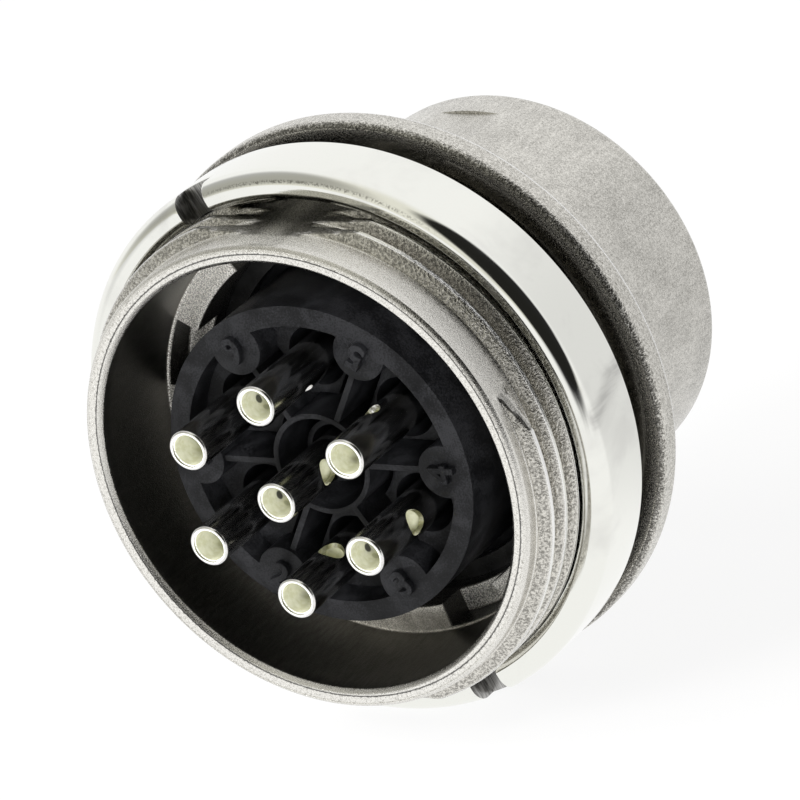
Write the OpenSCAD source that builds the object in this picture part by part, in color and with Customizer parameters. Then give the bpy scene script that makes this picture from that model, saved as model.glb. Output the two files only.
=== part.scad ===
// Panel connector of the round kind, six contacts on a circle and one in the middle.
// The axis is Y. The wire side points to -Y and the mating side to +Y, and Z is up.
// The origin lies on the axis, in the flange face that bears on the panel.

/* [Housing] */
// Outside diameter of the panel thread
thread_d = 29.4; // [29.2:0.1:31]
// Pitch of the panel thread
thread_pitch = 1.5; // [1:0.25:1.5]
// Radial height of the thread's ridges
thread_h = 0.8; // [0.5:0.05:0.9]
// How far the wire side's rim stands off the panel face
rim_stand = 10.6; // [9.5:0.1:14]
// Length of the plain lead-in
lead_l = 1.5; // [1:0.1:2.5]
// Wall of the housing under the thread, at the rim
rim_wall = 1.05; // [0.9:0.05:1.4]
// Depth of the wiring chamber, from the rim to the ledge
chamber_depth = 6.8; // [5.5:0.1:7.2]
// How far the chamber's wall leans in on the way down to the ledge
chamber_draft = 0.15; // [0:0.05:0.3]
// Depth of the two flats that interrupt the thread
flat_cut = 0.9; // [0.4:0.05:0.95]
// How far the flange stands out beyond the thread
flange_reach = 1.9; // [1.6:0.1:5]
// Thickness of the flange
flange_t = 1.8; // [1.4:0.1:3]
// Radius on the flange's two outer edges
flange_edge = 0.45; // [0.1:0.05:0.6]
// Outside diameter of the mating barrel
barrel_d = 23.9; // [22.6:0.1:26]
// Length of the mating barrel beyond the flange
barrel_l = 13.9; // [12:0.1:18]
// Wall of the mating barrel
barrel_wall = 1.55; // [1.2:0.05:1.6]
// Radius on the mating barrel's outer end edge
barrel_edge = 0.6; // [0.2:0.05:0.8]
// Depth of the two casting flats on the mating barrel
barrel_flat = 0.15; // [0.05:0.05:0.3]
// Length of the two casting flats, measured from the flange
barrel_flat_l = 10.5; // [6:0.5:11]
// Width of the bevel inside the barrel's mouth
barrel_bevel = 0.4; // [0.2:0.05:0.6]
// Width of the coding rib inside the mating barrel
key_w = 2; // [1.2:0.1:3]
// Height of the coding rib
key_h = 0.7; // [0.4:0.1:1]
// How far the coding rib ends inside the barrel's mouth
key_sink = 0.8; // [0.6:0.1:2]

/* [Ledge] */
// Width of the step between the ledge's opening and the barrel's bore, which the insert seats on
step_w = 0.7; // [0.5:0.05:0.9]
// Depth of the pockets in the ledge
pocket_depth = 2.2; // [1:0.1:2.4]
// Angle that each pocket spans
pocket_deg = 20; // [10:1:30]
// Angle from a pair's middle to each of its two pockets
pocket_pair = 23.2; // [18:0.2:30]
// Direction of the first pair's middle
pocket_turn = -47.4; // [-60:0.2:-30]

/* [Ring nut] */
// How far the nut's outside lies inside the flange's
nut_inset = 0.2; // [-0.4:0.1:0.4]
// Thickness of the ring nut
nut_t = 4.4; // [3.5:0.1:5]
// Thickness of panel that the nut leaves free
panel_t = 2.1; // [1.5:0.1:2.9]
// Radius on the nut's front outer edge
nut_edge = 0.9; // [0.3:0.1:1.1]
// Width of the flat front face, between the edge radius and the inner bevel
nut_face_w = 0.35; // [0.2:0.05:0.5]
// Width of the two spanner slots
slot_w = 2.1; // [1.2:0.1:3]
// Depth of the two spanner slots
slot_depth = 1.5; // [0.8:0.1:2]
// Direction of the first slot
slot_turn = -24.2; // [-90:0.2:90]

/* [Contact carrier] */
// Outside diameter of the carrier's ring wall
tower_d = 19; // [18.4:0.1:20]
// Thickness of the ring wall
tower_wall = 1.2; // [0.8:0.05:1.3]
// How far the ring wall lies below the rim
tower_sink = 1.95; // [1:0.05:3]
// Depth of the floor below the ring wall's top
floor_depth = 4.9; // [4:0.1:5.5]
// How far the numbered bosses' centres lie inside the ring wall's outside
boss_in = 1.65; // [1.5:0.05:2]
// Diameter of a numbered boss
boss_d = 3.1; // [2:0.1:3.2]
// Outside diameter of the middle ring
hub_d = 6.05; // [5.4:0.05:6.2]
// Thickness of the middle ring, and of the sleeve inside it
skin = 0.3; // [0.2:0.02:0.4]
// Outside diameter of the sleeve round the middle contact
sleeve_d = 3.76; // [3.5:0.02:4.2]
// Thickness of the radial ribs
rib_t = 0.34; // [0.3:0.02:0.6]
// How far the middle ring and the ribs lie below the ring wall's top
rib_sink = 0.15; // [0:0.05:1.4]
// Diameter of the well round each outer contact
well_d = 3.56; // [3.2:0.02:3.6]
// How far the blocks that hold the wells lie below the ring wall's top
block_sink = 1.9; // [0.8:0.1:2.5]
// Width of the slot that each rib stands in, between two blocks
slot_gap_w = 1.9; // [1.5:0.05:1.95]
// Width of the moat between the middle ring and the blocks
moat_w = 0.52; // [0.3:0.02:0.7]
// Thickness of the base that the carrier is held by
base_t = 1.2; // [0.8:0.1:1.5]

/* [Contacts] */
// Diameter of the circle of contacts
contact_circle_d = 11.5; // [11:0.1:11.8]
// Outside diameter of a wire cup
cup_d = 2.36; // [2.1:0.02:2.5]
// Inside diameter of a wire cup
cup_bore_d = 1.78; // [1.3:0.02:1.9]
// Depth of a wire cup
cup_depth = 4.9; // [4.2:0.1:6]
// Width of the bevel inside a cup's mouth
cup_bevel = 0.08; // [0.02:0.01:0.12]
// How far the wire cups stand proud of the rim
cup_proud = 2.9; // [1.5:0.1:4]
// Diameter of the inspection hole in a cup's side
peep_d = 1.45; // [0.7:0.05:1.6]
// Distance of the inspection hole from the cup's mouth
peep_from_mouth = 3.85; // [2.5:0.05:4.1]
// Diameter of a mating pin
pin_d = 1.6; // [1.2:0.05:1.8]
// How far the outer pins' tips lie inside the mating barrel
pin_sink = 2; // [1:0.1:4]
// How much longer the middle pin is
pin_lead = 1.2; // [0:0.1:1.5]
// Diameter of a contact's collar
collar_d = 2.9; // [2.7:0.05:2.95]
// Thickness of a contact's collar
collar_t = 0.8; // [0.5:0.05:1]

/* [Pin insulator and fixings] */
// How far the joint between carrier and pin insulator lies below the flange's back
joint_sink = 0.2; // [0:0.05:0.4]
// Thickness of the pin insulator, with its rim
insulator_t = 3.4; // [2.8:0.1:5]
// Thickness of the pin insulator's rim
insulator_rim_t = 0.8; // [0.5:0.05:1.2]
// Thickness of the seal under that rim
seal_t = 0.8; // [0.5:0.05:1]
// Thickness of the snap ring over the carrier's base
snap_t = 0.9; // [0.6:0.05:1]
// Room between the snap ring and the carrier's ring wall
snap_room = 0.6; // [0.3:0.1:0.8]
// How far the snap ring reaches into its groove
snap_grip = 0.4; // [0.3:0.05:0.6]
// Thickness of a retaining clip's spring sheet
clip_sheet = 0.15; // [0.1:0.01:0.2]

/* [Hidden] */
$fn = 96;
fine_fn = 48;
eps = 0.01;
cut = 1;

// Clearances between pieces that mate
run_gap = 0.05;
slip_gap = 0.05;
cup_gap = 0.07;
body_gap = 0.15;

// Small radii and widths that no fit depends on
fine_edge = 0.15;
rim_edge = 0.2;
insulator_edge = 0.3;
thread_play = 0.03;
pocket_web = 0.15;
rib_step = 0.05;
nut_bevel_slope = 0.8;

// Form of one ridge, as shares of the pitch, and how far its foot is sunk in the core
crest_share = 0.16;
flank_share = 0.28;
ridge_sunk = 0.2;

// Floor that is left over a clip's cavity, and how much slimmer than its cup a contact's neck is
clip_cover = 1.65;
neck_in = 0.1;

// How much stouter a pin's root is than the pin, and how far it stands out of the insulator
root_out = 0.2;
root_proud = 0.1;

// Levels along the axis, from the panel face, negative on the wire side
rim_z = -rim_stand;
ledge_z = rim_z + chamber_depth;
tower_z = rim_z + tower_sink;
floor_z = tower_z + floor_depth;
block_z = tower_z + block_sink;
hub_z = tower_z + rib_sink;
rib_z = hub_z + rib_step;
mouth_z = rim_z - cup_proud;
barrel_end_z = flange_t + barrel_l;
joint_z = flange_t - joint_sink;
base_z = joint_z - base_t;
insulator_face_z = joint_z + insulator_t;
seal_z = joint_z + insulator_rim_t;
step_z = seal_z + seal_t;
snap_z = base_z - slip_gap - snap_t;
nut_rear_z = -panel_t;
nut_front_z = nut_rear_z - nut_t;
collar_z = joint_z - slip_gap - collar_t;
clip_top_z = floor_z + clip_cover;
throat_end_z = clip_top_z - 2 * slip_gap;
root_end_z = insulator_face_z + root_proud;

// Radii
thread_r = thread_d / 2 - thread_play;
thread_root_r = thread_r - thread_h;
chamber_r = thread_root_r - rim_wall;
chamber_foot_r = chamber_r - chamber_draft;
flat_r = thread_d / 2 - flat_cut;
flange_r = thread_d / 2 + flange_reach;
nut_bore_r = thread_r + run_gap;
nut_r = flange_r - nut_inset;
barrel_r = barrel_d / 2;
barrel_bore_r = barrel_r - barrel_wall;
ledge_r = barrel_bore_r + step_w;
base_r = ledge_r - body_gap;
snap_out_r = ledge_r + snap_grip;
insulator_r = barrel_bore_r - body_gap;
tower_r = tower_d / 2;
boss_circle_r = tower_r - boss_in;
hub_r = hub_d / 2;
well_r = well_d / 2;
sleeve_r = sleeve_d / 2;
tower_in_r = tower_r - tower_wall;
contact_r = contact_circle_d / 2;
cavity_r = collar_d / 2 + body_gap;
throat_r = cup_d / 2 + cup_gap;
shank_r = cup_d / 2 - neck_in;
pin_r = pin_d / 2;
pin_root_r = pin_r + root_out;

// Contact i's direction round the axis, clockwise from the top as seen from the wire side
function contact_clock(i) = 360 - 60 * i;
// Direction of the rib and the numbered boss next to contact i
function rib_clock(i) = contact_clock(i) - 30;
// Direction that each cup's inspection hole faces, the middle contact first
peep_clock = [84, 234, 224, 14, 76, -26, 152];

// Ridges that fit between the lead-in and the flange
crest_w = crest_share * thread_pitch;
flank_w = flank_share * thread_pitch;
ridge_w = crest_w + 2 * flank_w;
ridge_count = floor((rim_stand - lead_l - ridge_w) / thread_pitch) + 1;

// Colours of the four materials
housing_colour = [0.72, 0.71, 0.68];
nut_colour = [0.88, 0.88, 0.85];
black = [0.16, 0.16, 0.17];
silver = [0.85, 0.85, 0.82];

// Children drawn with Z along the axis are laid along +Y, their -Y side up
module along_axis() {
    rotate([-90, 0, 0]) children();
}

// Turns children drawn along +X to a clock direction, 0 at the top
module at_clock(a) {
    rotate([0, 0, a - 90]) children();
}

module at_contact(i) {
    if (i == 0) {
        children();
    } else {
        at_clock(contact_clock(i)) translate([contact_r, 0, 0]) children();
    }
}

// A plain round solid from level z0 to level z1
module disc(r, z0, z1, sides = $fn) {
    translate([0, 0, z0]) cylinder(r = r, h = z1 - z0, $fn = sides);
}

module tube(r_out, r_in, z0, z1, sides = $fn) {
    difference() {
        disc(r_out, z0, z1, sides);
        disc(r_in, z0 - cut, z1 + cut, sides);
    }
}

// Half section of a ring whose outer corners are rounded: e0 at level z0, e1 at level z1
module rounded_section(r_in, r_out, z0, z1, e0, e1) {
    translate([r_in, z0]) square([r_out - e0 - r_in, z1 - z0 - e1]);
    translate([r_in, z0 + e0]) square([r_out - e1 - r_in, z1 - z0 - e0]);
    translate([r_in, z0 + e0]) square([r_out - r_in, z1 - z0 - e0 - e1]);
    // An edge's circle may be wider than a thin ring, so it ends at the ring's inside
    intersection() {
        union() {
            translate([r_out - e0, z0 + e0]) circle(e0, $fn = fine_fn);
            translate([r_out - e1, z1 - e1]) circle(e1, $fn = fine_fn);
        }
        translate([r_in, z0]) square([r_out - r_in, z1 - z0]);
    }
}

// The thread as parallel ridges: each one rises from the root, has a narrow crest and falls again
module thread_section() {
    sunk_r = thread_root_r - ridge_sunk;
    for (k = [0:ridge_count - 1]) {
        translate([0, rim_z + lead_l + k * thread_pitch])
            polygon([
                [sunk_r, 0],
                [thread_root_r, 0],
                [thread_r, flank_w],
                [thread_r, flank_w + crest_w],
                [thread_root_r, ridge_w],
                [sunk_r, ridge_w]
            ]);
    }
}

module housing_outside() {
    rotate_extrude() {
        thread_section();
        // The core that the ridges stand on, with a small bevel at the rim
        polygon([
            [0, rim_z],
            [thread_root_r - rim_edge, rim_z],
            [thread_root_r, rim_z + rim_edge],
            [thread_root_r, eps],
            [0, eps]
        ]);
        rounded_section(0, flange_r, 0, flange_t, flange_edge, flange_edge);
        rounded_section(0, barrel_r, 0, barrel_end_z, eps, barrel_edge);
        // Fillet in the corner between the flange's back and the barrel
        difference() {
            translate([barrel_r - eps, flange_t - eps]) square(barrel_edge);
            translate([barrel_r + barrel_edge, flange_t + barrel_edge]) circle(barrel_edge, $fn = fine_fn);
        }
    }
}

module housing_inside() {
    rotate_extrude() {
        polygon([
            [0, rim_z - cut],
            [chamber_r, rim_z - cut],
            [chamber_r, rim_z],
            [chamber_foot_r, ledge_z],
            [0, ledge_z]
        ]);
        translate([0, ledge_z - eps]) square([ledge_r, step_z - ledge_z + eps]);
        translate([0, snap_z - slip_gap]) square([snap_out_r + slip_gap, snap_t + 2 * slip_gap]);
        translate([0, step_z - eps]) square([barrel_bore_r, barrel_end_z - step_z + cut]);
        // Bevel at the mating mouth
        polygon([
            [0, barrel_end_z - barrel_bevel],
            [barrel_bore_r, barrel_end_z - barrel_bevel],
            [barrel_bore_r + barrel_bevel, barrel_end_z],
            [barrel_bore_r + barrel_bevel, barrel_end_z + cut],
            [0, barrel_end_z + cut]
        ]);
    }
}

module thread_flat() {
    translate([flat_r, -thread_d / 2, rim_z - cut])
        cube([thread_d, thread_d, rim_stand + cut]);
}

module barrel_flat_cut() {
    translate([barrel_r - barrel_flat, -barrel_r, flange_t + barrel_edge])
        cube([barrel_r, barrel_d, barrel_flat_l]);
}

module ledge_pocket(clock) {
    pocket_out_r = chamber_foot_r - pocket_web;
    at_clock(clock - pocket_deg / 2)
        rotate_extrude(angle = pocket_deg)
            translate([ledge_r - cut, ledge_z - eps])
                square([pocket_out_r - ledge_r + cut, pocket_depth + eps]);
}

module coding_rib() {
    foot_z = insulator_face_z + slip_gap;
    translate([barrel_bore_r - key_h, -key_w / 2, foot_z])
        cube([key_h + barrel_wall / 2, key_w, barrel_end_z - key_sink - foot_z]);
}

module housing() {
    color(housing_colour) along_axis() {
        difference() {
            housing_outside();
            housing_inside();
            for (side = [0, 180]) {
                at_clock(side) thread_flat();
                at_clock(side) barrel_flat_cut();
                for (pair = [-pocket_pair, pocket_pair]) {
                    ledge_pocket(side + pocket_turn + pair);
                }
            }
        }
        at_clock(0) coding_rib();
    }
}

module ring_nut() {
    face_r = nut_r - nut_edge - nut_face_w;
    bevel_end_z = nut_front_z + (face_r - nut_bore_r) * nut_bevel_slope;
    color(nut_colour) along_axis() difference() {
        rotate_extrude()
            rounded_section(nut_bore_r, nut_r, nut_front_z, nut_rear_z, nut_edge, fine_edge);
        // Inner bevel, from the front face down to the thread
        rotate_extrude() polygon([
            [0, nut_front_z - cut],
            [face_r, nut_front_z - cut],
            [face_r, nut_front_z],
            [nut_bore_r, bevel_end_z],
            [0, bevel_end_z]
        ]);
        for (side = [0, 180]) {
            at_clock(slot_turn + side)
                translate([nut_bore_r - cut, -slot_w / 2, nut_front_z - cut])
                    cube([nut_r, slot_w, slot_depth + cut]);
        }
    }
}

// Walls that stand on the carrier's floor: ring, hub, sleeve, ribs and numbered bosses
module carrier_walls() {
    tube(tower_r, tower_in_r, tower_z, floor_z + eps);
    tube(hub_r, hub_r - skin, hub_z, floor_z + eps);
    tube(sleeve_r, sleeve_r - skin, block_z, floor_z + eps, fine_fn);
    for (i = [1:6]) {
        at_clock(rib_clock(i)) {
            translate([boss_circle_r, 0, 0]) disc(boss_d / 2, tower_z, floor_z + eps, fine_fn);
            translate([hub_r - skin / 2, -rib_t / 2, rib_z])
                cube([boss_circle_r - hub_r, rib_t, floor_z + eps - rib_z]);
        }
    }
}

// The blocks between the ribs, which fill the room from the moat to the ring wall
module well_blocks() {
    translate([0, 0, block_z]) linear_extrude(floor_z + eps - block_z) difference() {
        circle(tower_in_r + eps);
        circle(hub_r + moat_w);
        for (i = [1:6]) {
            at_clock(rib_clock(i)) translate([0, -slot_gap_w / 2]) square([tower_r, slot_gap_w]);
        }
    }
}

// What the contacts take out of the carrier: the well, the throat and the clip's cavity
module carrier_passage(i) {
    at_contact(i) {
        if (i > 0) {
            disc(well_r, block_z - cut, floor_z, fine_fn);
        }
        disc(throat_r, floor_z - cut, joint_z + cut, fine_fn);
        disc(cavity_r, clip_top_z, joint_z + cut, fine_fn);
    }
}

module contact_carrier() {
    color(black) along_axis() difference() {
        union() {
            carrier_walls();
            well_blocks();
            disc(tower_r, floor_z, joint_z);
            disc(base_r, base_z, joint_z);
        }
        for (i = [0:6]) {
            carrier_passage(i);
        }
    }
}

module pin_insulator() {
    color(black) along_axis() difference() {
        union() {
            disc(base_r, joint_z, seal_z);
            rotate_extrude()
                rounded_section(0, insulator_r, joint_z, insulator_face_z, eps, insulator_edge);
        }
        for (i = [0:6]) {
            at_contact(i) disc(pin_root_r + slip_gap, joint_z - cut, insulator_face_z + cut, fine_fn);
        }
    }
}

module insert_seal() {
    color(black) along_axis() tube(ledge_r - slip_gap, insulator_r + slip_gap, seal_z, step_z);
}

// Split spring ring; its gap lies away from the spanner slots
module snap_ring() {
    gap_deg = 36;
    snap_in_r = tower_r + snap_room;
    color(silver) along_axis() at_clock(90)
        rotate_extrude(angle = 360 - gap_deg)
            translate([snap_in_r, snap_z]) square([snap_out_r - snap_in_r, snap_t]);
}

module mouth_bevel() {
    wide_r = cup_bore_d / 2 + cup_bevel + eps;
    cylinder(r1 = wide_r, r2 = cup_bore_d / 2, h = cup_bevel + eps, $fn = fine_fn);
}

module pin_contact(i) {
    tip_z = barrel_end_z - pin_sink + (i == 0 ? pin_lead : 0);
    color(silver) along_axis() at_contact(i) difference() {
        union() {
            disc(cup_d / 2, mouth_z, throat_end_z, fine_fn);
            disc(shank_r, throat_end_z - eps, collar_z + eps, fine_fn);
            disc(collar_d / 2, collar_z, collar_z + collar_t, fine_fn);
            disc(pin_root_r, collar_z + eps, root_end_z, fine_fn);
            disc(pin_r, root_end_z - eps, tip_z - pin_r, fine_fn);
            translate([0, 0, tip_z - pin_r]) sphere(pin_r, $fn = fine_fn);
        }
        disc(cup_bore_d / 2, mouth_z - cut, mouth_z + cup_depth, fine_fn);
        translate([0, 0, mouth_z - eps]) mouth_bevel();
        // The turn that faces the inspection hole undoes the contact's own place on the circle
        rotate([0, 0, (i == 0 ? 0 : 90 - contact_clock(i)) + peep_clock[i] - 90])
            translate([0, 0, mouth_z + peep_from_mouth])
                rotate([0, 90, 0]) cylinder(d = peep_d, h = cup_d, $fn = fine_fn);
    }
}

// Split sleeve with a lip that snaps in behind the contact's collar
module contact_clip(i) {
    clip_r = cavity_r - slip_gap;
    gap_deg = 60;
    color(silver) along_axis() at_contact(i)
        rotate_extrude(angle = 360 - gap_deg, $fn = fine_fn) {
            translate([clip_r - clip_sheet, clip_top_z + slip_gap])
                square([clip_sheet, collar_z - clip_top_z - 2 * slip_gap]);
            translate([shank_r + slip_gap, collar_z - slip_gap - clip_sheet])
                square([clip_r - shank_r - slip_gap, clip_sheet]);
        }
}

housing();
ring_nut();
contact_carrier();
pin_insulator();
insert_seal();
snap_ring();
for (i = [1:6]) {
    pin_contact(i);
    contact_clip(i);
}
pin_contact(0);  // contact_middle
contact_clip(0);  // clip_middle
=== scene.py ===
import math

import bmesh
import bpy
import numpy as np
from mathutils import Matrix, Vector


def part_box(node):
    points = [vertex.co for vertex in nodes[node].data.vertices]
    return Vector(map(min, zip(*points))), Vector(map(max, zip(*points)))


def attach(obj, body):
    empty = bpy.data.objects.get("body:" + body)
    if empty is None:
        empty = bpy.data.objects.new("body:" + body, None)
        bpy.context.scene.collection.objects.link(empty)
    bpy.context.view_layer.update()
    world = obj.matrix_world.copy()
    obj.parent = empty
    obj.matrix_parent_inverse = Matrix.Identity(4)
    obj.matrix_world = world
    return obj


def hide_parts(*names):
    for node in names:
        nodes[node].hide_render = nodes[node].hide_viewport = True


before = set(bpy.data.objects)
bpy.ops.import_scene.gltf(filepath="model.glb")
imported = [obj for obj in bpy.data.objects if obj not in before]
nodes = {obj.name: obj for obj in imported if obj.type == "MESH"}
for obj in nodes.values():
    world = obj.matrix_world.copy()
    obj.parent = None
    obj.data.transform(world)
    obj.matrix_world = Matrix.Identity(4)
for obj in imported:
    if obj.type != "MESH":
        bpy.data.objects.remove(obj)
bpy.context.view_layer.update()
mm = 0.001
print("frame loaded:", len(nodes), "nodes")

# Levels are in mm along +Y from the flange's panel face, minus on the wire side.
# Clock angles are in degrees from +Z, clockwise as seen from the wire side.
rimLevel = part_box("housing")[0].y / mm
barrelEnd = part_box("housing")[1].y / mm
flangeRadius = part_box("housing")[1].x / mm


class Signal:
    # A socket of a node tree that can be used in a sum
    def __init__(self, sheet, socket):
        self.sheet = sheet
        self.socket = socket

    def __add__(self, other):
        return self.sheet.math("ADD", self, other)

    def __radd__(self, other):
        return self.sheet.math("ADD", other, self)

    def __sub__(self, other):
        return self.sheet.math("SUBTRACT", self, other)

    def __rsub__(self, other):
        return self.sheet.math("SUBTRACT", other, self)

    def __mul__(self, other):
        return self.sheet.math("MULTIPLY", self, other)

    def __rmul__(self, other):
        return self.sheet.math("MULTIPLY", other, self)

    def __truediv__(self, other):
        return self.sheet.math("DIVIDE", self, other)

    def __pow__(self, other):
        return self.sheet.math("POWER", self, other)


class Sheet:
    # The node tree of one material or of the world
    def __init__(self, owner):
        owner.use_nodes = True
        self.owner = owner
        self.tree = owner.node_tree
        self.tree.nodes.clear()

    def node(self, kind, settings=None, sockets=None, output=0):
        node = self.tree.nodes.new(kind)
        for key, value in (settings or {}).items():
            setattr(node, key, value)
        for key, value in (sockets or {}).items():
            if isinstance(value, Signal):
                self.tree.links.new(value.socket, node.inputs[key])
            else:
                node.inputs[key].default_value = value
        return Signal(self, node.outputs[output]) if node.outputs else node

    def place(self, stretch=(1.0, 1.0, 1.0)):
        # In mm, so that a noise's scale is in lumps per mm
        spot = self.node("ShaderNodeTexCoord", output="Object")
        scale = [factor / mm for factor in stretch]
        return self.node("ShaderNodeVectorMath", {"operation": "MULTIPLY"}, {0: spot, 1: scale})

    def aboutAxis(self):
        # Radius in mm, clock angle in turns and level in mm
        spot = self.place()
        parts = self.tree.nodes.new("ShaderNodeSeparateXYZ")
        self.tree.links.new(spot.socket, parts.inputs[0])
        x, y, z = [Signal(self, parts.outputs[axis]) for axis in "XYZ"]
        radius = (x * x + z * z) ** 0.5
        turn = self.math("ARCTAN2", x, z) / math.tau
        return radius, turn, y

    def math(self, operation, first, second=0.0):
        return self.node("ShaderNodeMath", {"operation": operation}, {0: first, 1: second})

    def noise(self, scale, detail=2.0, roughness=0.5, place=None, distortion=0.0):
        return self.node("ShaderNodeTexNoise", None, {
            "Vector": place or self.place(), "Scale": scale, "Detail": detail,
            "Roughness": roughness, "Distortion": distortion})

    def spread(self, value, low, high):
        # Spreads the part of a number between low and high over 0 to 1
        return self.node("ShaderNodeMapRange", {"interpolation_type": "SMOOTHSTEP"}, {
            "Value": value, "From Min": low, "From Max": high})

    def within(self, value, low, high, fade):
        # 1 between two limits, fading on both sides
        return self.spread(value, low - fade, low + fade) * (1 - self.spread(value, high - fade, high + fade))

    def blendColours(self, share, first, second):
        mixed = self.tree.nodes.new("ShaderNodeMix")
        mixed.data_type = "RGBA"
        for socket, value in ((mixed.inputs[0], share), (mixed.inputs[6], first), (mixed.inputs[7], second)):
            if isinstance(value, Signal):
                self.tree.links.new(value.socket, socket)
            else:
                socket.default_value = value
        return Signal(self, mixed.outputs[2])

    def bump(self, height, distance):
        return self.node("ShaderNodeBump", None, {"Height": height, "Distance": distance * mm})

    def surface(self, sockets):
        shader = self.node("ShaderNodeBsdfPrincipled", None, sockets)
        self.node("ShaderNodeOutputMaterial", None, {"Surface": shader})
        return self.owner


def grey(value, warmth=0.0):
    return (value * (1 + 0.5 * warmth), value, value * (1 - 1.3 * warmth), 1.0)


def newSheet(name):
    return Sheet(bpy.data.materials.new(name))


threadSize = {
    "pitch": 1.5,
    "crestRadius": 14.67,
    "rootRadius": 13.87,
    "crestHalf": 0.095,
    "flank": 0.42,
    # Side of a ridge: the way along it, stretched to the flank, and the share of the height there
    "flankShape": ((0.0, 1.0), (0.05, 0.93), (0.25, 0.47), (0.37, 0.06), (0.43, 0.0)),
    "startClock": 66.0,
    "rampStart": 67.5,  # the ridge climbs out of the core over these clock angles
    "rampEnd": 77.5,
    "firstCrest": 1.31,  # from the rim, where the ridge starts
    "ridges": 7,
}

castLook = {
    "pale": grey(0.88, 0.04),  # worn high spots of the die casting
    "dull": grey(0.62, 0.05),  # its pits
    "barrel": (grey(0.28, 0.07), grey(0.84, 0.05)),  # the mating barrel is duller
    "flank": (grey(0.26, 0.07), grey(0.76, 0.06)),  # the thread's flanks have a coarser skin
    "crest": grey(0.88, 0.01),
    "rampShade": grey(0.06, 0.06),  # painted shade: the dark line where the first ridge starts, along the front of its climbing top
    "flat": (grey(0.15, 0.06), grey(0.34, 0.05)),  # the flats that cut the thread
    "edge": (grey(0.32, 0.08), grey(0.84, 0.05)),  # the flange's edge
    "turned": grey(0.11, 0.08),  # the flange's turned front face, painted near black as the nut's shade on it
    # Light grains that thin out the nut's painted shade towards the flange's rim
    "nutShadeGrain": grey(0.62, 0.08),
    # A painted highlight line along the flange's back corner
    "backHighlight": grey(0.97),
    "rim": (grey(0.38, 0.06), grey(0.70, 0.04)),
    "rimScoreShade": grey(0.08, 0.04),
    # The chamber's dark colours, with painted light at its top and painted shade at the lower left
    "chamber": (grey(0.085, 0.10), grey(0.050, 0.16)),
    "chamberTop": grey(0.115, 0.10),
    "chamberBottom": grey(0.012, 0.16),
    "ledge": (grey(0.20, 0.08), grey(0.86, 0.05)),  # with the pockets' floors
    # Mottled painted shade on the ledge at the bottom
    "ledgeBottom": (grey(0.15, 0.12), grey(0.42, 0.10)),
    "shaded": grey(0.035, 0.10),  # walls of the pockets and of the opening
    "roughness": (0.20, 0.38),
    "grainDepth": 0.050,  # mm
}
# Where the casting's zones begin, end or fade, in mm: radii, levels, or heights over the axis.
# Clocks are in degrees, minus on the left.
castZones = {
    "barrelLevels": (1.75, 1.95),
    "rampTop": (2.2, 2.3),  # from the rim
    "rampFoot": (-0.06, -0.03),  # from the climbing ridge
    # Where the painted shade line along the first ridge's front lies
    "rampShadeRadii": (13.88, 13.90),
    "rampShadeEnd": (-9.25, -9.20),
    "rampShadeWidth": 0.13,
    "threadRadii": (13.90, 13.98),
    "threadLevels": (-9.8, -0.65),
    "flankTop": (14.50, 14.64),
    "crestRadii": (14.62, 14.66),
    "flatHeights": (13.74, 13.84),
    "flatRadii": (13.78, 13.84),
    "flatLevels": (-8.9, -0.5),
    "flangeRadii": (14.2, 14.4),
    "faceLevels": (-0.05, 0.02),
    "edgeLevels": (0.02, 1.5),
    # Where the nut's painted shade fades over the front of the flange's edge
    "nutShadeLevels": (-0.05, 0.40),
    "backHighlightRadii": (15.9, 16.1),
    "backHighlightLevels": (1.45, 1.75),
    "rimDepths": (0.02, 0.07),  # from the rim
    # The rim's dark line: painted shade over the rough score, drifting inward away from one clock angle
    "rimShadeRadii": (13.46, 13.54),
    "rimShadeClock": 54.0,  # where the painted shade line comes nearest to the rim's outer edge
    "rimShadeDrift": 0.22,
    "insideRadii": (13.0, 13.1),
    "chamberStart": 0.3,  # from the rim
    "chamberEnd": -3.9,
    "chamberTopHeights": (-8.0, -4.0),
    "chamberBottomClocks": (-172.0, -140.0),
    "openingRadii": (11.0, 11.05),
    "ledgeLevels": (-3.86, -1.45),
    "ledgeTop": (-3.75, -3.65),
    "ledgeBottomHeights": (-11.8, -9.6),
    "pocketLevels": (-3.70, -1.75),
    "throatRadii": (11.0, 11.2),
    "throatLevels": (-3.6, 3.1),
}


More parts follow.
